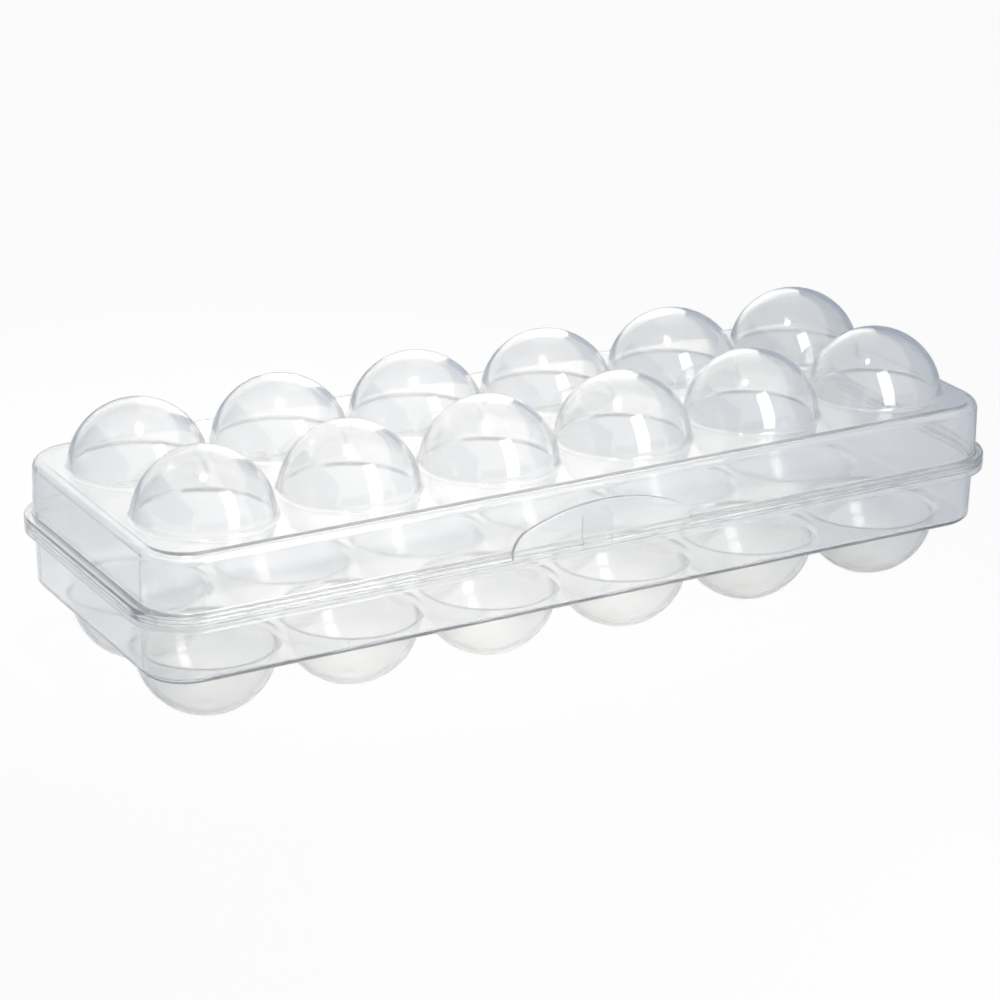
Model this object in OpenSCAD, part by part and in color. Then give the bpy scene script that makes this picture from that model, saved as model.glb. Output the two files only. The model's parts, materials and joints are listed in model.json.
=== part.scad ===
// Egg keeper with a flip lid: two rows of six round cells, a tray, a domed lid, a lift tab and a rear hinge.
// Millimetres. Z = 0 is the table under the cups, X runs along the box, -Y is the front with the tab.

/* [Cells] */
// Distance between neighbouring cells along the box
cell_pitch = 50; // [48.5:0.5:54]
// Distance between the front and back rows
row_pitch = 48.3; // [48:0.1:54]
// Outside radius of the round cups
cup_radius = 22.7; // [21.5:0.1:22.8]
// Outside radius of the round domes in the lid
dome_radius = 22.7; // [21.5:0.1:22.8]
// Radius of the small flat that each cup stands on
rest_radius = 4; // [3:0.5:6]
// How far the dome's centre lies under the top of the lid panel
dome_sink = 1.3; // [0.5:0.1:2.5]
// Outside radius of the rounding where a cup or dome meets its panel
cell_fillet = 1; // [0.6:0.1:1]

/* [Walls] */
// Thickness of the moulded plastic
skin = 1.6; // [1.2:0.1:1.8]
// Height of the tray wall, from the floor's underside to the parting line
tray_height = 22.1; // [18:0.1:26]
// Height of the lid from the parting line to the top of its panel
lid_height = 20.7; // [16:0.1:26]
// Distance from the outer cells to the outside of the tray wall along X
end_margin = 28.2; // [27:0.1:32]
// The same along Y
side_margin = 29.1; // [28:0.1:32]
// How far each wall leans out from its panel to the parting line
wall_lean = 0.4; // [0.2:0.1:0.8]
// Corner radius of the tray wall at the floor
tray_corner = 14.4; // [12:0.1:18]
// Corner radius of the lid wall at the rim
lid_corner = 16.1; // [14:0.1:18]
// Outside rounding between the tray floor and its wall
floor_round = 2.6; // [2.2:0.1:4]
// Outside rounding between the lid panel and its wall
top_round = 3.4; // [2.4:0.1:4]

/* [Rims] */
// How far the tray rim stands out from the tray wall at the ends
rim_reach_x = 3.35; // [3:0.05:5]
// The same along the front and back
rim_reach_y = 3.6; // [3:0.05:5]
// Corner radius of both rims
rim_corner = 18.4; // [17:0.1:21]
// Height of the tray rim, ledge and skirt together
tray_rim_height = 3.5; // [3:0.1:6]
// Thickness of the down-turned skirt of the tray rim
skirt = 1.4; // [1.1:0.1:1.6]
// Height of the lid rim
lid_rim_height = 2.0; // [1.6:0.1:3]
// How far the lid rim stands out from the lid wall at the ends
lid_step_x = 2.9; // [2.4:0.1:3.2]
// The same along the front and back
lid_step_y = 2.2; // [1.9:0.1:2.6]
// Gap between the closed rims
parting_gap = 0.1; // [0.05:0.05:0.3]

/* [Lift tab and catch] */
// Centre of the tab and catch along X
tab_x = -2.2; // [-10:0.1:10]
// Width of the lift tab
tab_width = 66.2; // [50:0.2:80]
// Height of the lift tab above the parting line
tab_height = 15; // [13:0.1:18]
// Radius of the long arc on top of the tab
tab_arc = 70; // [60:1:90]
// Radius of the tab's rounded shoulders
tab_shoulder = 9; // [7:0.5:11]
// How far the tab stands out from the front of the rims
tab_proud = 0.8; // [0.6:0.1:1.5]
// Width of the catch behind the tab
catch_width = 10.8; // [8:0.2:14]
// Height of the catch above the parting line
catch_height = 8.8; // [6:0.1:10]
// Clearance between the catch and the lid wall
catch_gap = 0.55; // [0.5:0.05:0.9]
// Thickness of the catch
catch_skin = 1.2; // [1:0.1:1.4]
// Bevel along the catch's tip
catch_bevel = 0.4; // [0.2:0.1:0.5]

/* [Hinge] */
// Distance of each hinge from the middle of the box
hinge_spread = 75; // [60:1:100]
// Width of the clip on the lid
clip_width = 18; // [12:1:26]
// Thickness of each ear on the tray
ear = 2.2; // [1.8:0.1:3]
// Side gap between clip and ear
ear_gap = 0.35; // [0.2:0.05:0.6]
// Radius of the hinge pin
pin_radius = 1.6; // [1.4:0.05:1.7]
// Radial running clearance of the pin in the clip
pin_gap = 0.05; // [0.03:0.01:0.08]
// Outside radius of ears and clips
knuckle_radius = 3; // [2.8:0.05:3.1]
// Gap between a knuckle and the back of the rims
knuckle_gap = 0.2; // [0.15:0.05:0.4]

/* [Hidden] */
columns = 6;
small = 0.01;
reach_past = 100;
ring_facets = 96;
corner_facets = 96;
roll_facets = 48;
tab_facets = 240;
plastic_clear = [0.85, 0.88, 0.92, 0.55];
plastic_shade = [0.74, 0.8, 0.88, 0.6];

// heights of the main planes
floor_under = sqrt(cup_radius * cup_radius - rest_radius * rest_radius);
floor_top = floor_under + skin;
parting = floor_under + tray_height;
lid_low = parting + parting_gap;
panel_top = parting + lid_height;
dome_centre = panel_top - dome_sink;

// outlines, as half lengths and half widths
last_cell = (columns - 1) / 2 * cell_pitch;
row_half = row_pitch / 2;
tray_half_x = last_cell + end_margin;
tray_half_y = row_half + side_margin;
tray_top_x = tray_half_x + wall_lean;
tray_top_y = tray_half_y + wall_lean;
rim_half_x = tray_top_x + rim_reach_x;
rim_half_y = tray_top_y + rim_reach_y;
tray_rim_corner = tray_corner + wall_lean;
lid_half_x = rim_half_x - lid_step_x;
lid_half_y = rim_half_y - lid_step_y;
lid_rise = panel_top - lid_low;

// hinge line
pin_y = rim_half_y + knuckle_gap + knuckle_radius;
clip_mouth = pin_radius * 1.5;
clip_mouth_angle = -60;
// an arm's straight flank leaves its round eye at these shares of the root's distance and the eye's radius
flank_out = 0.3;
flank_up = 0.99;
// steps that keep the arms clear of the parting line at their roots
ear_root_step = 0.2;
clip_root_step = 0.1;

// the outline runs from the front of the tab to the back of the knuckles, and Y = 0 lies half way
back_reach = pin_y + knuckle_radius;
front_reach = rim_half_y + tab_proud;
y_shift = (front_reach - back_reach) / 2;

// radius at which the rounding of a cell ends on its panel
function cell_edge(radius, sink) =
    sqrt(pow(radius + cell_fillet, 2) - pow(sink + cell_fillet, 2));

function cell_x(column) = (column - (columns + 1) / 2) * cell_pitch;

// the part of a cell's section above the line from the sphere's centre to the rounding's centre
module crown_section(radius, sink, edge) {
    intersection() {
        difference() {
            circle(r = radius, $fn = ring_facets);
            circle(r = radius - skin, $fn = ring_facets);
        }
        polygon([
            [0, 0],
            [edge * 2, (sink + cell_fillet) * 2],
            [edge * 2, reach_past],
            [0, reach_past]
        ]);
    }
}

// the rounding below that line, which runs out into the panel
module rounding_section(sink, edge) {
    intersection() {
        translate([edge, sink + cell_fillet])
            difference() {
                circle(r = cell_fillet + skin, $fn = roll_facets);
                circle(r = cell_fillet, $fn = roll_facets);
            }
        polygon([
            [0, 0],
            [edge, sink + cell_fillet],
            [edge, -reach_past],
            [0, -reach_past]
        ]);
    }
}

// an upright dome whose panel top lies sink above the sphere's centre, cut flat at the crown's height
module cell(radius, sink, crown) {
    edge = cell_edge(radius, sink);
    union() {
        rotate_extrude($fn = ring_facets)
            intersection() {
                crown_section(radius, sink, edge);
                translate([0, -reach_past])
                    square([reach_past, reach_past + crown]);
            }
        rotate_extrude($fn = ring_facets)
            rounding_section(sink, edge);
    }
}

module cup(column, row) {
    color(plastic_shade)
        translate([cell_x(column), row * row_half + y_shift, floor_under])
        mirror([0, 0, 1])
        cell(cup_radius, 0, floor_under);
}

module dome(column, row) {
    color(plastic_clear)
        translate([cell_x(column), row * row_half + y_shift, dome_centre])
        cell(dome_radius, dome_sink, dome_radius + 1);
}

// how far a leaning wall has moved in at a height, per millimetre of height
function slope(rise) = wall_lean / rise;

// thickness of a leaning wall measured level
function level_skin(rise) = skin / cos(atan(slope(rise)));

// where the rounding between wall and panel ends, measured out from the corner's centre
function panel_edge(foot, rise, round) =
    foot - slope(rise) * (rise - round) - round / cos(atan(slope(rise)));

// area under a leaning wall with a rounded top edge: x out from the corner centre, y up from the rim
module wall_body(foot, rise, round, lean, low) {
    centre_x = foot - tan(lean) * (rise - round) - round / cos(lean);
    union() {
        polygon([
            [0, low],
            [foot - tan(lean) * low, low],
            [centre_x + round * cos(lean), rise - round + round * sin(lean)],
            [centre_x, rise - round],
            [centre_x, rise],
            [0, rise]
        ]);
        translate([centre_x, rise - round])
            circle(r = round, $fn = roll_facets);
    }
}

// section of the wall from the top of its rim to the end of its rounding
module wall_section(foot, rise, round, rim) {
    lean = atan(slope(rise));
    edge = panel_edge(foot, rise, round);
    intersection() {
        difference() {
            wall_body(foot, rise, round, lean, 0);
            wall_body(foot - level_skin(rise), rise - skin, round - skin, lean, -1);
        }
        translate([edge, rim])
            square([foot, rise]);
    }
}

// a wall standing on z = rim: its section swept round a rounded rectangle
module wall_ring(half_x, half_y, corner, rise, round, rim) {
    core_x = half_x - corner;
    core_y = half_y - corner;
    for (sx = [0, 1]) {
        mirror([sx, 0, 0]) {
            translate([core_x, core_y, 0])
                rotate([90, 0, 0])
                linear_extrude(core_y * 2)
                wall_section(corner, rise, round, rim);
            for (sy = [0, 1]) {
                mirror([0, sy, 0]) {
                    translate([core_x, core_y, 0])
                        rotate_extrude(angle = 90, $fn = corner_facets)
                        wall_section(corner, rise, round, rim);
                }
            }
        }
    }
    for (sy = [0, 1]) {
        mirror([0, sy, 0])
            translate([-core_x, core_y, 0])
            rotate([90, 0, 90])
            linear_extrude(core_x * 2)
            wall_section(corner, rise, round, rim);
    }
}

// the flat panel inside a wall's rounding
module panel_plate(half_x, half_y, corner, rise, round) {
    edge = panel_edge(corner, rise, round);
    inset = corner - edge;
    linear_extrude(skin)
        rounded_rectangle(half_x - inset, half_y - inset, edge);
}

module rounded_rectangle(half_x, half_y, corner) {
    square([half_x * 2, (half_y - corner) * 2], center = true);
    square([(half_x - corner) * 2, half_y * 2], center = true);
    for (sx = [-1, 1]) {
        for (sy = [-1, 1]) {
            translate([sx * (half_x - corner), sy * (half_y - corner)])
                circle(r = corner, $fn = corner_facets);
        }
    }
}

// a flat frame from the outline of the rims in to a smaller rounded rectangle
module frame_plate(inner_x, inner_y, inner_corner, height) {
    linear_extrude(height)
        difference() {
            rounded_rectangle(rim_half_x, rim_half_y, rim_corner);
            rounded_rectangle(inner_x, inner_y, inner_corner);
        }
}

// round holes for all the cells of a panel
module cell_holes(edge, low, high) {
    for (column = [1 : columns]) {
        for (row = [-1, 1]) {
            translate([cell_x(column), row * row_half, low])
                cylinder(r = edge, h = high - low, $fn = ring_facets);
        }
    }
}

module tray_floor() {
    color(plastic_shade)
        translate([0, y_shift, floor_under])
        difference() {
            panel_plate(tray_top_x, tray_top_y, tray_rim_corner, tray_height, floor_round);
            cell_holes(cell_edge(cup_radius, 0), -1, skin + 1);
        }
}

module tray_wall() {
    color(plastic_shade)
        translate([0, y_shift, parting])
        mirror([0, 0, 1])
        wall_ring(tray_top_x, tray_top_y, tray_rim_corner, tray_height, floor_round, skin);
}

// the ledge on top of the tray wall and the skirt that hangs from its edge
module tray_rim() {
    inset = level_skin(tray_height) + slope(tray_height) * skin;
    color(plastic_shade)
        translate([0, y_shift, parting])
        union() {
            translate([0, 0, -skin])
                frame_plate(tray_top_x - inset, tray_top_y - inset, tray_rim_corner - inset, skin);
            translate([0, 0, -tray_rim_height])
                frame_plate(
                    rim_half_x - skirt,
                    rim_half_y - skirt,
                    rim_corner - skirt,
                    tray_rim_height - skin / 2
                );
        }
}

module lid_panel() {
    color(plastic_clear)
        translate([0, y_shift, panel_top - skin])
        difference() {
            panel_plate(lid_half_x, lid_half_y, lid_corner, lid_rise, top_round);
            cell_holes(cell_edge(dome_radius, dome_sink), -1, skin + 1);
        }
}

module lid_wall() {
    color(plastic_clear)
        translate([0, y_shift, lid_low])
        wall_ring(lid_half_x, lid_half_y, lid_corner, lid_rise, top_round, lid_rim_height);
}

module lid_rim() {
    inset = level_skin(lid_rise) + slope(lid_rise) * lid_rim_height;
    color(plastic_clear)
        translate([0, y_shift, lid_low])
        frame_plate(lid_half_x - inset, lid_half_y - inset, lid_corner - inset, lid_rim_height);
}

// outline of the half-moon tab, its foot on y = 0
module tab_outline() {
    shoulder_x = tab_width / 2 - tab_shoulder;
    arc_y = tab_height - tab_arc;
    shoulder_y = arc_y + sqrt(pow(tab_arc - tab_shoulder, 2) - pow(shoulder_x, 2));
    spread = tab_arc / (tab_arc - tab_shoulder) * 2;
    intersection() {
        union() {
            intersection() {
                translate([0, arc_y])
                    circle(r = tab_arc, $fn = tab_facets);
                polygon([
                    [0, arc_y],
                    [shoulder_x * spread, arc_y + (shoulder_y - arc_y) * spread],
                    [-shoulder_x * spread, arc_y + (shoulder_y - arc_y) * spread]
                ]);
            }
            for (side = [-1, 1]) {
                translate([side * shoulder_x, shoulder_y])
                    circle(r = tab_shoulder, $fn = roll_facets * 2);
            }
            polygon([
                [-tab_width / 2, 0],
                [tab_width / 2, 0],
                [tab_width / 2, shoulder_y],
                [shoulder_x, shoulder_y + small],
                [-shoulder_x, shoulder_y + small],
                [-tab_width / 2, shoulder_y]
            ]);
        }
        translate([-tab_width, parting_gap])
            square([tab_width * 2, tab_height * 2]);
    }
}

module lift_tab() {
    rim_top = parting_gap + lid_rim_height;
    color(plastic_clear)
        translate([tab_x, y_shift - rim_half_y - tab_proud, parting])
        union() {
            rotate([90, 0, 0])
                mirror([0, 0, 1])
                linear_extrude(tab_proud)
                tab_outline();
            translate([0, tab_proud / 2, 0])
                rotate([90, 0, 0])
                mirror([0, 0, 1])
                linear_extrude(skin - tab_proud / 2)
                intersection() {
                    tab_outline();
                    translate([-tab_width, rim_top])
                        square([tab_width * 2, tab_height * 2]);
                }
        }
}

// an upright tongue on the tray wall, just inside the lid's front wall
module catch_tongue() {
    outer_face = lid_half_y - skin - catch_gap;
    color(plastic_shade)
        translate([tab_x, y_shift - outer_face, parting])
        rotate([90, 0, 90])
        linear_extrude(catch_width, center = true)
        polygon([
            [0, 0],
            [catch_skin, 0],
            [catch_skin, catch_height - catch_bevel],
            [catch_skin - catch_bevel, catch_height],
            [catch_bevel, catch_height],
            [0, catch_height - catch_bevel]
        ]);
}

// side view of an ear: a round eye on an arm from the back of the tray rim
module ear_outline() {
    root = rim_half_y - pin_y;
    circle(r = knuckle_radius, $fn = roll_facets);
    polygon([
        [root, -tray_rim_height],
        [root * flank_out, -knuckle_radius * flank_up],
        [0, 0],
        [root, -ear_root_step]
    ]);
}

module base_hinge(side) {
    half = clip_width / 2 + ear_gap;
    color(plastic_shade)
        translate([side * hinge_spread, pin_y + y_shift, parting])
        union() {
            for (end = [0, 1]) {
                mirror([end, 0, 0])
                    translate([half, 0, 0])
                    rotate([90, 0, 90])
                    linear_extrude(ear)
                    ear_outline();
            }
            rotate([0, 90, 0])
                cylinder(r = pin_radius, h = half * 2 + small, center = true, $fn = roll_facets);
        }
}

// side view of a clip: a split ring on an arm from the back of the lid rim
module clip_outline() {
    root = rim_half_y - pin_y;
    difference() {
        union() {
            circle(r = knuckle_radius, $fn = roll_facets);
            polygon([
                [root, parting_gap + clip_root_step],
                [0, 0],
                [root * flank_out, knuckle_radius * flank_up],
                [root, parting_gap + lid_rim_height]
            ]);
        }
        circle(r = pin_radius + pin_gap, $fn = roll_facets);
        // the mouth that snaps over the pin
        rotate(clip_mouth_angle)
            translate([0, -clip_mouth / 2])
            square([knuckle_radius * 2, clip_mouth]);
    }
}

module lid_clip(side) {
    color(plastic_clear)
        translate([side * hinge_spread, pin_y + y_shift, parting])
        rotate([90, 0, 90])
        linear_extrude(clip_width, center = true)
        clip_outline();
}

tray_floor();
tray_wall();
tray_rim();
cup(1, -1);  // egg_cup_front_1
cup(2, -1);  // egg_cup_front_2
cup(3, -1);  // egg_cup_front_3
cup(4, -1);  // egg_cup_front_4
cup(5, -1);  // egg_cup_front_5
cup(6, -1);  // egg_cup_front_6
cup(1, 1);  // egg_cup_back_1
cup(2, 1);  // egg_cup_back_2
cup(3, 1);  // egg_cup_back_3
cup(4, 1);  // egg_cup_back_4
cup(5, 1);  // egg_cup_back_5
cup(6, 1);  // egg_cup_back_6
catch_tongue();
base_hinge(-1);  // base_hinge_left
base_hinge(1);  // base_hinge_right
lid_panel();
lid_wall();
lid_rim();
dome(1, -1);  // lid_dome_front_1
dome(2, -1);  // lid_dome_front_2
dome(3, -1);  // lid_dome_front_3
dome(4, -1);  // lid_dome_front_4
dome(5, -1);  // lid_dome_front_5
dome(6, -1);  // lid_dome_front_6
dome(1, 1);  // lid_dome_back_1
dome(2, 1);  // lid_dome_back_2
dome(3, 1);  // lid_dome_back_3
dome(4, 1);  // lid_dome_back_4
dome(5, 1);  // lid_dome_back_5
dome(6, 1);  // lid_dome_back_6
lift_tab();
lid_clip(-1);  // lid_clip_left
lid_clip(1);  // lid_clip_right
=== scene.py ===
"""A clear plastic egg keeper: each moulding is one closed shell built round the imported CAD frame. Metres."""

import json
import math

import bmesh
import bpy
import numpy as np
from mathutils import Matrix, Vector
from mathutils.geometry import delaunay_2d_cdt
from mathutils.kdtree import KDTree

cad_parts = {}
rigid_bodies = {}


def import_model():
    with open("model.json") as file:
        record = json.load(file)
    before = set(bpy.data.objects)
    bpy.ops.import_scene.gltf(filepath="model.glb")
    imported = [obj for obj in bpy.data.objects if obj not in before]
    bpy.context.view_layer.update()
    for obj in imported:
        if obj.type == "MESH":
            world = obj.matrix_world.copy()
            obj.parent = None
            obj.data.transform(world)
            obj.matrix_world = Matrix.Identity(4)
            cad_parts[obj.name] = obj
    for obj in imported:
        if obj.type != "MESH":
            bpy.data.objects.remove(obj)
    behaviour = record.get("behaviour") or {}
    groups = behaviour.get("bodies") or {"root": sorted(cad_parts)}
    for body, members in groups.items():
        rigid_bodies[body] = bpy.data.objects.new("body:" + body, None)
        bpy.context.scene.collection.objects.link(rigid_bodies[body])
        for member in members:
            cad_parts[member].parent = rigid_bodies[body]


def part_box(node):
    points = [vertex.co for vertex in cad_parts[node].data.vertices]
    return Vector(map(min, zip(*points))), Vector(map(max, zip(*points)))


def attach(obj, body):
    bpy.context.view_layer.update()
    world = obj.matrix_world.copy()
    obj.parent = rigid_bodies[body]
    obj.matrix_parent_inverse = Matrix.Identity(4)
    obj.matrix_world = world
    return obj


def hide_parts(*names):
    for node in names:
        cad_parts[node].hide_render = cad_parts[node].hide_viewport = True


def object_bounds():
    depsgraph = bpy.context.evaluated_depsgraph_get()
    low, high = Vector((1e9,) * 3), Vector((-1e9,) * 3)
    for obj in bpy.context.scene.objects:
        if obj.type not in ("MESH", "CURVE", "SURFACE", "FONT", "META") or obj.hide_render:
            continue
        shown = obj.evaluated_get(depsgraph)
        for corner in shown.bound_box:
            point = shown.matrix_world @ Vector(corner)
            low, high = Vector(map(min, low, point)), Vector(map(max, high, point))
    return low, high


for leftover in list(bpy.data.objects):
    bpy.data.objects.remove(leftover)
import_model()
cad_low, cad_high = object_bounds()

MM = 0.001

# Sizes read from the frame
tray_low, tray_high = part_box("tray_rim")
tab_low, tab_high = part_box("lift_tab")
tongue_low, tongue_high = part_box("catch_tongue")
FLOOR_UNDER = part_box("tray_floor")[0].z
PARTING = tray_high.z
LID_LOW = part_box("lid_rim")[0].z
PANEL_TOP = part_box("lid_panel")[1].z
MIDDLE_Y = (tray_low.y + tray_high.y) / 2
RIM_X = tray_high.x
RIM_Y = tray_high.y - MIDDLE_Y

COLUMNS = 6
CUPS = [f"egg_cup_{row}_{i + 1}" for row in ("front", "back") for i in range(COLUMNS)]
DOMES = [f"lid_dome_{row}_{i + 1}" for row in ("front", "back") for i in range(COLUMNS)]

# Sizes of the moulding
SKIN = 1.6 * MM
CELL_RADIUS = 22.7 * MM
CELL_FILLET = 1.0 * MM
DOME_SINK = 1.3 * MM
REST_RADIUS = 4.0 * MM
REST_INNER_SHARE = 0.88
LEAN = 0.4 * MM
TRAY_CORNER = 14.8 * MM
LID_CORNER = 16.1 * MM
FLOOR_ROUND = 2.6 * MM
TOP_ROUND = 3.4 * MM
RIM_CORNER = 18.4 * MM
RIM_REACH_X = 3.35 * MM
RIM_REACH_Y = 3.6 * MM
LID_STEP_X = 2.9 * MM
LID_STEP_Y = 2.2 * MM
TRAY_RIM = 3.5 * MM
LID_RIM = 2.0 * MM
SKIRT = 1.4 * MM
EDGE = 0.35 * MM
INNER_EDGE = 0.6 * MM
SKIRT_ROUND = 0.45 * MM
LEDGE_ROUND = 0.5 * MM
MOUTH_ROUND = 0.3 * MM

# Mesh density
AROUND_CELL = 72
CROWN_STEPS = 18
CROWN_GAP = 3
FILLET_STEPS = 5
BEVEL_ANGLE = 35
CORNER_STEPS = 16
EDGE_STEPS = 4
QUARTER = [
    (math.cos(math.radians(90 * i / EDGE_STEPS)), math.sin(math.radians(90 * i / EDGE_STEPS)))
    for i in range(EDGE_STEPS + 1)
]


class Shell:
    """Collects the points of one closed moulding with their true normals."""

    def __init__(self):
        self.points = []
        self.normals = []
        self.faces = []

    def loop(self, points, normals):
        start = len(self.points)
        self.points.extend(points)
        self.normals.extend(normals)
        return list(range(start, len(self.points)))

    def bridge(self, a, b):
        """Quads between two closed loops with as many points each; the outside is on the right of a to b."""
        n = len(a)
        for i in range(n):
            j = (i + 1) % n
            self.faces.append((a[i], a[j], b[j], b[i]))

    def fan(self, a, tip, flip):
        n = len(a)
        for i in range(n):
            j = (i + 1) % n
            self.faces.append((a[j], a[i], tip) if flip else (a[i], a[j], tip))

    def sheet(self, outer, holes, up):
        """Fills a flat panel between its outline and its round holes."""
        ids = outer + [k for h in holes for k in h]
        local = {k: n for n, k in enumerate(ids)}
        flat = [Vector(self.points[k][:2]) for k in ids]
        edges = []
        for ring in [outer] + holes:
            edges += [(local[ring[i]], local[ring[(i + 1) % len(ring)]]) for i in range(len(ring))]
        centres = [np.mean([self.points[k][:2] for k in h], 0) for h in holes]
        radii = [np.linalg.norm(np.array(self.points[h[0]][:2]) - c) for h, c in zip(holes, centres)]
        verts, _, tris, sources, _, _ = delaunay_2d_cdt(flat, edges, [], 1, 1e-9)
        assert len(verts) == len(flat), "the panel's fill made new points"
        back = {n: ids[s[0]] for n, s in enumerate(sources)}
        for t in tris:
            middle = np.mean([verts[v][:] for v in t], 0)
            if any(np.linalg.norm(middle - c) < r * 0.999 for c, r in zip(centres, radii)):
                continue
            ids3 = [back[v] for v in t]
            p = [Vector(self.points[k]) for k in ids3]
            if ((p[1] - p[0]).cross(p[2] - p[0]).z > 0) != up:
                ids3.reverse()
            self.faces.append(tuple(ids3))

    def build(self, name):
        mesh = bpy.data.meshes.new(name)
        mesh.from_pydata([tuple(p) for p in self.points], [], self.faces)
        mesh.update()
        obj = bpy.data.objects.new(name, mesh)
        bpy.context.scene.collection.objects.link(obj)
        return obj


def outline(shell, half_x, half_y, corner, z, out, up):
    """One loop round a rounded rectangle, anticlockwise from above, with normals (out, up)."""
    points, normals = [], []
    for sx, sy, start in ((1, 1, 0), (-1, 1, 90), (-1, -1, 180), (1, -1, 270)):
        for step in range(CORNER_STEPS + 1):
            a = math.radians(start + 90 * step / CORNER_STEPS)
            c, s = math.cos(a), math.sin(a)
            points.append((
                sx * (half_x - corner) + corner * c,
                MIDDLE_Y + sy * (half_y - corner) + corner * s,
                z,
            ))
            normals.append((c * out, s * out, up))
    return shell.loop(points, normals)


def circle(shell, centre, radius, z, out, up):
    points, normals = [], []
    for step in range(AROUND_CELL):
        a = 2 * math.pi * (step + 0.5) / AROUND_CELL
        c, s = math.cos(a), math.sin(a)
        points.append((centre[0] + radius * c, centre[1] + radius * s, z))
        normals.append((c * out, s * out, up))
    return shell.loop(points, normals)


def arc(cx, cy, r, start, end, steps, concave=False):
    """Points of a 2D arc as (x, y, nx, ny); a concave one has its normals towards the centre."""
    side = -1 if concave else 1
    out = []
    for i in range(steps + 1):
        a = math.radians(start + (end - start) * i / steps)
        c, s = math.cos(a), math.sin(a)
        out.append((cx + r * c, cy + r * s, side * c, side * s))
    return out


def cell_profile(radius, sink, fillet, inside, flat):
    """(r, height above the sphere's centre, normal) from the panel to the crown, for a cell that points up."""
    edge = math.sqrt((CELL_RADIUS + CELL_FILLET) ** 2 - (sink + CELL_FILLET) ** 2)
    fy = sink + CELL_FILLET
    join = math.degrees(math.atan2(fy, edge))
    rows = arc(edge, fy, fillet, 270, 180 + join, FILLET_STEPS, concave=True)
    last = math.degrees(math.acos(REST_RADIUS / radius)) if flat else 90 - CROWN_GAP
    rows += arc(0, 0, radius, join, last, CROWN_STEPS)[1:]
    if flat:
        top = rows[-1][1]
        rows.append((REST_RADIUS * REST_INNER_SHARE, top, 0, 1))
    if inside:
        rows = [(x, y, -nx, -ny) for x, y, nx, ny in rows]
    return rows


def add_cell(shell, centre, base_z, way, radius, sink, fillet, inside, flat):
    """Adds one skin of a cup (way -1) or dome (way +1). Gives the loop where it meets its panel."""
    rows = cell_profile(radius, sink, fillet, inside, flat)
    loops = [
        circle(shell, centre, x, base_z + way * y, nx, way * ny) for x, y, nx, ny in rows
    ]
    outward = (way > 0) != inside
    for a, b in zip(loops, loops[1:]):
        if outward:
            shell.bridge(a, b)
        else:
            shell.bridge(b, a)
    top = rows[-1][1] if flat else radius
    sign = -1 if inside else 1
    tip = shell.loop([(centre[0], centre[1], base_z + way * top)], [(0, 0, way * sign)])[0]
    shell.fan(loops[-1], tip, not outward)
    return loops[0]


def wall_arc(foot, rise, round_, inside):
    """The rounding at the top of a pan's wall as (x, y, nx, ny), from the panel outwards."""
    slope = LEAN / rise
    lean = math.degrees(math.atan(slope))
    if inside:
        foot -= SKIN / math.cos(math.radians(lean))
        rise_in, round_in = rise - SKIN, round_ - SKIN
    else:
        rise_in, round_in = rise, round_
    cx = foot - slope * (rise_in - round_in) - round_in / math.cos(math.radians(lean))
    rows = arc(cx, rise_in - round_in, round_in, 90, lean, FILLET_STEPS + 2)
    return rows, foot, slope, lean


def pan_profile(foot, rise, round_, rim_low, rim_thick, skirt_drop):
    """The moulding's section from the outer panel round the rim to the inner panel.

    Rows are (kind, x, y, nx, ny): kind "wall" measures x out from the wall's corner centre,
    and kind "rim" measures x inwards from the rim's outline. y is up from the parting face.
    """
    rows = []
    top, foot_out, slope, lean = wall_arc(foot, rise, round_, False)
    rows += [("wall",) + r for r in top]
    ledge = rim_low + rim_thick
    lc, ls = math.cos(math.radians(lean)), math.sin(math.radians(lean))
    f = INNER_EDGE
    # the wall runs down to the rounding on the rim's ledge
    y1 = ledge + f
    x1 = foot_out - slope * y1
    rows.append(("wall", x1, y1, lc, ls))
    rows += [("wall",) + r for r in arc(x1 + f, y1, f, 180, 270, FILLET_STEPS, concave=True)[1:]]
    if skirt_drop:
        # the rim is an inverted channel: ledge, skirt inside, skirt edge, skirt outside
        e, far = SKIRT_ROUND, skirt_drop
        rows += [("rim", SKIRT + e, ledge, 0, 1)]
        rows += [("rim", SKIRT + e - e * s, ledge + e - e * c, -s, c) for c, s in QUARTER[1:]]
        rows += [("rim", SKIRT - e + e * c, far - e + e * s, -c, s) for c, s in QUARTER]
        rows += [("rim", e - e * s, far - e + e * c, s, c) for c, s in QUARTER]
    else:
        e = LEDGE_ROUND
        rows += [("rim", e - e * s, ledge - e + e * c, s, c) for c, s in QUARTER]
    e = EDGE
    rows += [("rim", e - e * c, rim_low + e - e * s, c, -s) for c, s in QUARTER]
    # inner edge of the parting face, then up the inside of the wall
    x_in = foot_out - SKIN / lc
    e = MOUTH_ROUND
    rows += [("wall", x_in + e - e * s, rim_low + e - e * c, -s, -c) for c, s in QUARTER]
    inner, _, _, _ = wall_arc(foot, rise, round_, True)
    rows += [("wall", x, y, -nx, -ny) for x, y, nx, ny in reversed(inner)]
    return rows


def add_pan(shell, wall_x, wall_y, foot, rows, zero, way):
    """Sweeps a section round the pan; wall_x and wall_y are half the wall's outer size at its foot."""
    loops = []
    for kind, x, y, nx, ny in rows:
        if kind == "wall":
            hx, hy, corner = wall_x - foot + x, wall_y - foot + x, x
        else:
            hx, hy, corner = RIM_X - x, RIM_Y - x, RIM_CORNER - x
        loops.append(outline(shell, hx, hy, corner, zero + way * y, nx, way * ny))
    for a, b in zip(loops, loops[1:]):
        if way > 0:
            shell.bridge(b, a)
        else:
            shell.bridge(a, b)
    return loops[0], loops[-1]


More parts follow.
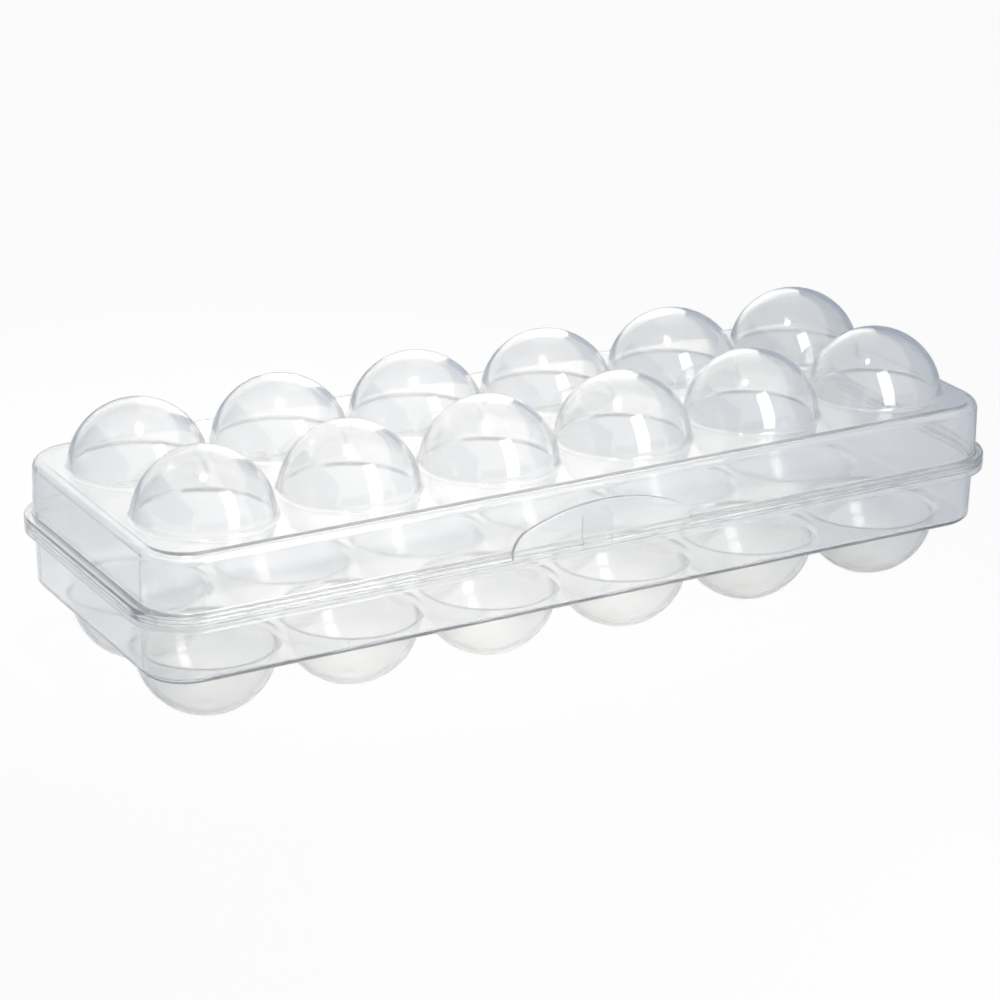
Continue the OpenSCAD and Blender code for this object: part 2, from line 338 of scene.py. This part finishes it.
def centres(names):
    found = []
    for n in names:
        low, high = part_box(n)
        found.append(((low.x + high.x) / 2, (low.y + high.y) / 2))
    return found


def make_tray():
    shell = Shell()
    rise = PARTING - FLOOR_UNDER
    wall_x, wall_y = RIM_X - RIM_REACH_X, RIM_Y - RIM_REACH_Y
    rows = pan_profile(TRAY_CORNER, rise, FLOOR_ROUND, 0, SKIN, TRAY_RIM)
    under, floor = add_pan(shell, wall_x, wall_y, TRAY_CORNER, rows, PARTING, -1)
    outer = [
        add_cell(shell, c, FLOOR_UNDER, -1, CELL_RADIUS, 0, CELL_FILLET, False, True)
        for c in centres(CUPS)
    ]
    inner = [
        add_cell(shell, c, FLOOR_UNDER, -1, CELL_RADIUS - SKIN, 0, CELL_FILLET + SKIN, True, False)
        for c in centres(CUPS)
    ]
    shell.sheet(under, outer, False)
    shell.sheet(floor, inner, True)
    return shell


def make_lid():
    shell = Shell()
    rise = PANEL_TOP - LID_LOW
    wall_x, wall_y = RIM_X - LID_STEP_X, RIM_Y - LID_STEP_Y
    rows = pan_profile(LID_CORNER, rise, TOP_ROUND, 0, LID_RIM, 0)
    panel, under = add_pan(shell, wall_x, wall_y, LID_CORNER, rows, LID_LOW, 1)
    centre_z = PANEL_TOP - DOME_SINK
    outer = [
        add_cell(shell, c, centre_z, 1, CELL_RADIUS, DOME_SINK, CELL_FILLET, False, False)
        for c in centres(DOMES)
    ]
    inner = [
        add_cell(shell, c, centre_z, 1, CELL_RADIUS - SKIN, DOME_SINK, CELL_FILLET + SKIN, True, False)
        for c in centres(DOMES)
    ]
    shell.sheet(panel, outer, True)
    shell.sheet(under, inner, False)
    return shell


def prism(name, outline_2d, place, depth):
    """A plate: a 2D outline placed by place(u, v, w), w from 0 to depth."""
    n = len(outline_2d)
    points = [place(u, v, 0) for u, v in outline_2d] + [place(u, v, depth) for u, v in outline_2d]
    faces = [tuple(range(n)), tuple(range(2 * n - 1, n - 1, -1))]
    faces += [(i, i + n, (i + 1) % n + n, (i + 1) % n) for i in range(n)]
    mesh = bpy.data.meshes.new(name)
    mesh.from_pydata(points, [], faces)
    mesh.update()
    bm = bmesh.new()
    bm.from_mesh(mesh)
    bmesh.ops.recalc_face_normals(bm, faces=bm.faces)
    bm.to_mesh(mesh)
    bm.free()
    obj = bpy.data.objects.new(name, mesh)
    bpy.context.scene.collection.objects.link(obj)
    return obj


def round_off(obj, width, segments=3):
    m = obj.modifiers.new("round", "BEVEL")
    m.width = width
    m.segments = segments
    m.limit_method = "ANGLE"
    m.angle_limit = math.radians(BEVEL_ANGLE)
    apply_modifiers(obj)


def apply_modifiers(obj):
    graph = bpy.context.evaluated_depsgraph_get()
    done = bpy.data.meshes.new_from_object(obj.evaluated_get(graph))
    obj.modifiers.clear()
    obj.data = done


TAB_ARCH = 70 * MM
TAB_SHOULDER = 9 * MM
TAB_FOOT = 0.03 * MM


def tab_outline():
    """Half-moon of the lift tab, its foot at v = 0, from the CAD tab's box."""
    half = (tab_high.x - tab_low.x) / 2
    height = tab_high.z - PARTING
    big, small_r = TAB_ARCH, TAB_SHOULDER
    cx = half - small_r
    arc_y = height - big
    sy = arc_y + math.sqrt((big - small_r) ** 2 - cx ** 2)
    join = math.degrees(math.atan2(sy - arc_y, cx))
    foot = LID_LOW - PARTING + TAB_FOOT
    points = [(-half, foot), (half, foot), (half, sy)]
    points += [(x, y) for x, y, _, _ in arc(cx, sy, small_r, 0, join, 12)[1:]]
    points += [(x, y) for x, y, _, _ in arc(0, arc_y, big, join, 180 - join, 40)[1:]]
    points += [(x, y) for x, y, _, _ in arc(-cx, sy, small_r, 180 - join, 180, 12)[1:]]
    return points


def make_tab():
    middle = (tab_low.x + tab_high.x) / 2
    front = tab_low.y
    obj = prism(
        "tab_part", tab_outline(),
        lambda u, v, w: (middle + u, front + w, PARTING + v), SKIN,
    )
    round_off(obj, 0.45 * MM)
    return obj


TONGUE_ROOT = 0.6 * MM
TONGUE_BEVEL = 0.4 * MM
TONGUE_LEAD = (0.3 * MM, 0.6 * MM)


def make_tongue():
    """The catch: an upright tongue, rooted a little into the tray wall."""
    lo, hi = tongue_low, tongue_high
    top = hi.z
    root = PARTING - TONGUE_ROOT
    side = [
        (lo.y, root), (hi.y, root), (hi.y, top - TONGUE_BEVEL), (hi.y - TONGUE_BEVEL, top),
        (lo.y + TONGUE_LEAD[0], top), (lo.y, top - TONGUE_LEAD[1]),
    ]
    obj = prism("tongue_part", side, lambda u, v, w: (lo.x + w, u, v), hi.x - lo.x)
    round_off(obj, 0.15 * MM, 2)
    return obj


PIN_RADIUS = 1.6 * MM
BORE_RADIUS = 1.65 * MM
KNUCKLE = 3.0 * MM
EAR = 2.2 * MM
EAR_ARC = (-107, 177)
CLIP_MOUTH_TURN = -60
CLIP_MOUTH_SHARE = 0.75
ROOT_DEPTH = 0.5 * MM
pin_y = cad_high.y - KNUCKLE


def ear_outline():
    root = MIDDLE_Y + RIM_Y - ROOT_DEPTH - pin_y
    face = MIDDLE_Y + RIM_Y - pin_y
    pts = [(x, y) for x, y, _, _ in arc(0, 0, KNUCKLE, *EAR_ARC, 30)]
    pts += [
        (face, -0.2 * MM), (root, -0.25 * MM),
        (root, -TRAY_RIM + 0.1 * MM), (face, -TRAY_RIM + 0.05 * MM),
    ]
    return pts


def make_ears(name):
    """Two ears and the pin between them, rooted a little into the tray's rim."""
    low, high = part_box(name)
    parts = []
    for start in (low.x, high.x - EAR):
        obj = prism("ear_part", ear_outline(),
                    lambda u, v, w, start=start: (start + w, pin_y + u, PARTING + v), EAR)
        round_off(obj, 0.25 * MM, 2)
        parts.append(obj)
    ring = [(x, y) for x, y, _, _ in arc(0, 0, PIN_RADIUS, 0, 352.5, 47)]
    pin = prism("pin_part", ring,
                lambda u, v, w: (low.x + EAR / 2 + w, pin_y + u, PARTING + v), high.x - low.x - EAR)
    parts.append(pin)
    return parts


def clip_outline():
    face = MIDDLE_Y + RIM_Y - pin_y
    root = face - ROOT_DEPTH
    low = LID_LOW - PARTING
    mouth_half = PIN_RADIUS * CLIP_MOUTH_SHARE
    turn = CLIP_MOUTH_TURN
    outer_gap = math.degrees(math.asin(mouth_half / KNUCKLE))
    inner_gap = math.degrees(math.asin(mouth_half / BORE_RADIUS))
    pts = [(x, y) for x, y, _, _ in arc(0, 0, KNUCKLE, turn + outer_gap, 107, 24)]
    pts += [
        (face, low + LID_RIM - 0.05 * MM), (root, low + LID_RIM - 0.1 * MM),
        (root, low + 0.15 * MM), (face, low + 0.12 * MM),
    ]
    pts += [(x, y) for x, y, _, _ in arc(0, 0, KNUCKLE, 176, 360 + turn - outer_gap, 16)]
    pts += [(x, y) for x, y, _, _ in arc(0, 0, BORE_RADIUS, 360 + turn - inner_gap, turn + inner_gap, 40)]
    return pts


def make_clip(name):
    low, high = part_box(name)
    obj = prism("clip_part", clip_outline(),
                lambda u, v, w: (low.x + w, pin_y + u, PARTING + v), high.x - low.x)
    round_off(obj, 0.2 * MM, 2)
    return obj


def fuse(obj, parts):
    """Joins the parts into the shell with exact booleans."""
    for part in parts:
        m = obj.modifiers.new("join", "BOOLEAN")
        m.operation = "UNION"
        m.solver = "EXACT"
        m.object = part
        apply_modifiers(obj)
        bpy.data.objects.remove(part)


SAME_PLACE = 0.002 * MM
BUILT_ANGLE = 50
SMOOTH_ANGLE = 32


def true_normals(obj, shell):
    """Gives every corner the normal it was built with; faces of joined parts go smooth below a set angle."""
    mesh = obj.data
    tree = KDTree(len(shell.points))
    for i, p in enumerate(shell.points):
        tree.insert(p, i)
    tree.balance()
    limit = math.cos(math.radians(BUILT_ANGLE))
    mesh.polygons.foreach_set("use_smooth", [True] * len(mesh.polygons))
    near = []
    for v in mesh.vertices:
        _, i, d = tree.find(v.co)
        near.append(i if d < SAME_PLACE else -1)
    smooth_limit = math.cos(math.radians(SMOOTH_ANGLE))
    around = [[] for _ in mesh.vertices]
    for p in mesh.polygons:
        for v in p.vertices:
            around[v].append(p.index)
    face_normals = [p.normal.copy() for p in mesh.polygons]
    areas = [p.area for p in mesh.polygons]
    normals = [None] * len(mesh.loops)
    for p in mesh.polygons:
        fn = face_normals[p.index]
        for li in p.loop_indices:
            v = mesh.loops[li].vertex_index
            n = None
            if near[v] >= 0:
                n = Vector(shell.normals[near[v]]).normalized()
                if n.dot(fn) < limit:
                    n = None
            if n is None:
                total = Vector()
                for q in around[v]:
                    if face_normals[q].dot(fn) > smooth_limit:
                        total += face_normals[q] * areas[q]
                n = total.normalized() if total.length > 0 else fn
            normals[li] = n
    mesh.normals_split_custom_set(normals)


# Material
def clear_plastic(name, tint, haze):
    mat = bpy.data.materials.new(name)
    mat.use_nodes = True
    nodes, links = mat.node_tree.nodes, mat.node_tree.links
    nodes.clear()
    out = nodes.new("ShaderNodeOutputMaterial")
    body = nodes.new("ShaderNodeBsdfPrincipled")
    body.inputs["Base Color"].default_value = (*tint, 1)
    body.inputs["IOR"].default_value = 1.5
    body.inputs["Transmission Weight"].default_value = 1 - haze
    body.inputs["Coat Weight"].default_value = 0.6
    body.inputs["Coat Roughness"].default_value = 0.015
    place = nodes.new("ShaderNodeTexCoord")
    # faint flow waves of the moulding
    waves = nodes.new("ShaderNodeTexNoise")
    waves.inputs["Scale"].default_value = 45
    waves.inputs["Detail"].default_value = 2
    links.new(place.outputs["Object"], waves.inputs["Vector"])
    bump = nodes.new("ShaderNodeBump")
    bump.inputs["Strength"].default_value = 0.25
    bump.inputs["Distance"].default_value = 0.0006
    links.new(waves.outputs["Fac"], bump.inputs["Height"])
    links.new(bump.outputs["Normal"], body.inputs["Normal"])
    # patches that are a little more matt
    patches = nodes.new("ShaderNodeTexNoise")
    patches.inputs["Scale"].default_value = 18
    patches.inputs["Detail"].default_value = 3
    links.new(place.outputs["Object"], patches.inputs["Vector"])
    spread = nodes.new("ShaderNodeMapRange")
    spread.inputs["To Min"].default_value = 0.05
    spread.inputs["To Max"].default_value = 0.11
    links.new(patches.outputs["Fac"], spread.inputs["Value"])
    links.new(spread.outputs["Result"], body.inputs["Roughness"])
    # lamps reach through the plastic, so that its shadow stays light
    path = nodes.new("ShaderNodeLightPath")
    share = nodes.new("ShaderNodeMath")
    share.operation = "MULTIPLY"
    share.inputs[1].default_value = 0.7
    links.new(path.outputs["Is Shadow Ray"], share.inputs[0])
    through = nodes.new("ShaderNodeBsdfTransparent")
    mix = nodes.new("ShaderNodeMixShader")
    links.new(share.outputs[0], mix.inputs["Fac"])
    links.new(body.outputs["BSDF"], mix.inputs[1])
    links.new(through.outputs["BSDF"], mix.inputs[2])
    links.new(mix.outputs["Shader"], out.inputs["Surface"])
    # long ways inside the wall come out darker and bluish, as the edges do
    depth = nodes.new("ShaderNodeVolumeAbsorption")
    depth.inputs["Color"].default_value = (0.58, 0.62, 0.67, 1)
    depth.inputs["Density"].default_value = 16
    links.new(depth.outputs["Volume"], out.inputs["Volume"])
    return mat


def seen_share(nodes, links, by_camera, by_mirror, through_plastic):
    """The shares of camera, mirrored and refracted rays that see plain white; 0 for all other rays."""
    path = nodes.new("ShaderNodeLightPath")

    def math_node(operation, first, second):
        node = nodes.new("ShaderNodeMath")
        node.operation = operation
        for socket, value in zip(node.inputs, (first, second)):
            if isinstance(value, float):
                socket.default_value = value
            else:
                links.new(value, socket)
        return node.outputs[0]

    # a rough refraction counts as a glossy ray too, so it is taken off the mirrored ones
    mirrored = math_node("SUBTRACT", path.outputs["Is Glossy Ray"], path.outputs["Is Transmission Ray"])
    shares = [
        math_node("MULTIPLY", path.outputs["Is Camera Ray"], by_camera),
        math_node("MULTIPLY", mirrored, by_mirror),
        math_node("MULTIPLY", path.outputs["Is Transmission Ray"], through_plastic),
    ]
    return math_node("MAXIMUM", math_node("MAXIMUM", shares[0], shares[1]), shares[2])


FLOOR_HALF = 6.0


def make_floor():
    mesh = bpy.data.meshes.new("floor")
    r = FLOOR_HALF
    mesh.from_pydata([(-r, -r, 0), (r, -r, 0), (r, r, 0), (-r, r, 0)], [], [(0, 1, 2, 3)])
    obj = bpy.data.objects.new("floor", mesh)
    bpy.context.scene.collection.objects.link(obj)
    mat = bpy.data.materials.new("floor_white")
    mat.use_nodes = True
    nodes, links = mat.node_tree.nodes, mat.node_tree.links
    nodes.clear()
    out = nodes.new("ShaderNodeOutputMaterial")
    lit = nodes.new("ShaderNodeBsdfDiffuse")
    lit.inputs["Color"].default_value = (0.8, 0.8, 0.8, 1)
    glow = nodes.new("ShaderNodeEmission")
    glow.inputs["Color"].default_value = (1, 1, 1, 1)
    mix = nodes.new("ShaderNodeMixShader")
    links.new(seen_share(nodes, links, 0.95, 0.2, 0.327), mix.inputs["Fac"])
    links.new(lit.outputs["BSDF"], mix.inputs[1])
    links.new(glow.outputs["Emission"], mix.inputs[2])
    links.new(mix.outputs["Shader"], out.inputs["Surface"])
    mesh.materials.append(mat)
    return obj


def make_world():
    world = bpy.data.worlds.new("studio")
    bpy.context.scene.world = world
    world.use_nodes = True
    nodes, links = world.node_tree.nodes, world.node_tree.links
    nodes.clear()
    out = nodes.new("ShaderNodeOutputWorld")
    white = nodes.new("ShaderNodeBackground")
    white.inputs["Color"].default_value = (1, 1, 1, 1)
    room = nodes.new("ShaderNodeBackground")
    room.inputs["Color"].default_value = (0.19, 0.25, 0.35, 1)
    mix = nodes.new("ShaderNodeMixShader")
    links.new(seen_share(nodes, links, 1.0, 1.0, 1.0), mix.inputs["Fac"])
    links.new(room.outputs["Background"], mix.inputs[1])
    links.new(white.outputs["Background"], mix.inputs[2])
    links.new(mix.outputs["Shader"], out.inputs["Surface"])


def add_flag(name, place, aim, size, color):
    """A card out of the picture; only the mirrored and refracted rays find it, and draw the edges."""
    w, h = size[0] / 2, size[1] / 2
    mesh = bpy.data.meshes.new(name)
    mesh.from_pydata([(-w, -h, 0), (w, -h, 0), (w, h, 0), (-w, h, 0)], [], [(0, 1, 2, 3)])
    obj = bpy.data.objects.new(name, mesh)
    obj.location = place
    obj.rotation_mode = "QUATERNION"
    obj.rotation_quaternion = (Vector(aim) - Vector(place)).to_track_quat("Z", "Y")
    bpy.context.scene.collection.objects.link(obj)
    mat = bpy.data.materials.new(name)
    mat.use_nodes = True
    nodes, links = mat.node_tree.nodes, mat.node_tree.links
    nodes.clear()
    out = nodes.new("ShaderNodeOutputMaterial")
    card = nodes.new("ShaderNodeEmission")
    card.inputs["Color"].default_value = (*color, 1)
    links.new(card.outputs["Emission"], out.inputs["Surface"])
    mesh.materials.append(mat)
    obj.visible_camera = False
    obj.visible_diffuse = False
    obj.visible_shadow = False
    return obj


def add_area(name, place, aim, size, power, color=(1, 1, 1)):
    light = bpy.data.lights.new(name, "AREA")
    light.shape = "RECTANGLE"
    light.size, light.size_y = size
    light.energy = power
    light.color = color
    obj = bpy.data.objects.new(name, light)
    obj.location = place
    obj.rotation_mode = "QUATERNION"
    obj.rotation_quaternion = (Vector(aim) - Vector(place)).to_track_quat("-Z", "Y")
    obj.visible_camera = False
    bpy.context.scene.collection.objects.link(obj)
    return obj


def add_spot(name, place, aim, radius, cone, power, color):
    light = bpy.data.lights.new(name, "SPOT")
    light.shadow_soft_size = radius
    light.spot_size = math.radians(cone)
    light.spot_blend = 1.0
    light.energy = power
    light.color = color
    obj = bpy.data.objects.new(name, light)
    obj.location = place
    obj.rotation_mode = "QUATERNION"
    obj.rotation_quaternion = (Vector(aim) - Vector(place)).to_track_quat("-Z", "Y")
    obj.visible_camera = False
    bpy.context.scene.collection.objects.link(obj)
    return obj


def make_camera():
    """The photograph's viewpoint, fitted to the outlines of the box and its cells."""
    azimuth, elevation, roll = math.radians(-30.2), math.radians(21.18), math.radians(1.0)
    distance, shift_right, shift_up = 1146.6 * MM, -5.45 * MM, 15.36 * MM
    target = Vector((0, MIDDLE_Y, FLOOR_UNDER))
    back = Vector((
        math.sin(azimuth) * math.cos(elevation),
        -math.cos(azimuth) * math.cos(elevation),
        math.sin(elevation),
    ))
    right = Vector((0, 0, 1)).cross(back).normalized()
    up = back.cross(right)
    turned_right = right * math.cos(roll) + up * math.sin(roll)
    turned_up = up * math.cos(roll) - right * math.sin(roll)
    data = bpy.data.cameras.new("camera")
    data.sensor_width = 36
    data.lens = 124.41
    data.clip_start, data.clip_end = 0.01, 50
    cam = bpy.data.objects.new("camera", data)
    bpy.context.scene.collection.objects.link(cam)
    spin = Matrix((turned_right, turned_up, back)).transposed()
    cam.matrix_world = Matrix.Translation(
        target + back * distance + turned_right * shift_right + turned_up * shift_up
    ) @ spin.to_4x4()
    bpy.context.scene.camera = cam


# The two mouldings
tray_plastic = clear_plastic("tray_plastic", (0.99, 0.99, 0.985), 0.100)
lid_plastic = clear_plastic("lid_plastic", (0.99, 0.99, 0.985), 0.100)

tray_shell = make_tray()
tray = tray_shell.build("tray_moulding")
fuse(tray, [make_tongue()] + make_ears("base_hinge_left") + make_ears("base_hinge_right"))
true_normals(tray, tray_shell)
tray.data.materials.clear()
tray.data.materials.append(tray_plastic)
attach(tray, "base")
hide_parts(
    "tray_floor", "tray_wall", "tray_rim", *CUPS,
    "catch_tongue", "base_hinge_left", "base_hinge_right",
)

lid_shell = make_lid()
lid = lid_shell.build("lid_moulding")
fuse(lid, [make_tab(), make_clip("lid_clip_left"), make_clip("lid_clip_right")])
true_normals(lid, lid_shell)
lid.data.materials.clear()
lid.data.materials.append(lid_plastic)
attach(lid, "lid")
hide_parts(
    "lid_panel", "lid_wall", "lid_rim", *DOMES,
    "lift_tab", "lid_clip_left", "lid_clip_right",
)

# Stage
make_floor()
make_world()
make_camera()
add_spot(
    "overhead_lamp", place=(-0.141, -0.086, 0.765), aim=(-0.031, 0.129, 0),
    radius=0.06, cone=36.0, power=24.2, color=(1.0, 0.969, 0.910),
)
add_area(
    "strip_lamp", place=(0.044, -0.39, 0.25), aim=(0.0, 0.0, 0.06), size=(0.15, 0.46), power=1.15,
)
CARD_AIM = (0, 0, 0.05)
CARDS = (
    ("white_card", (0.32, 0.55, 0.4), (0.1, 0, 0.06), (0.36, 1.0), (1.29, 1.29, 1.26)),
    ("right_flag", (0.6, 0.1, 0.1), CARD_AIM, (1.5, 0.9), (0.347, 0.395, 0.481)),
    ("left_flag", (-0.6, 0.1, 0.1), CARD_AIM, (1.5, 0.9), (0.347, 0.395, 0.481)),
    ("front_flag", (0.0, -0.9, 0.0), CARD_AIM, (1.6, 0.5), (0.42, 0.46, 0.52)),
)
for card in CARDS:
    add_flag(*card)

scene = bpy.context.scene
scene.view_settings.view_transform = "Standard"
scene.cycles.max_bounces = 24
scene.cycles.transmission_bounces = 20
scene.cycles.glossy_bounces = 8
scene.cycles.transparent_max_bounces = 16
scene.cycles.use_denoising = True
scene.cycles.sample_clamp_indirect = 6.0
scene.cycles.caustics_reflective = True
scene.cycles.caustics_refractive = True
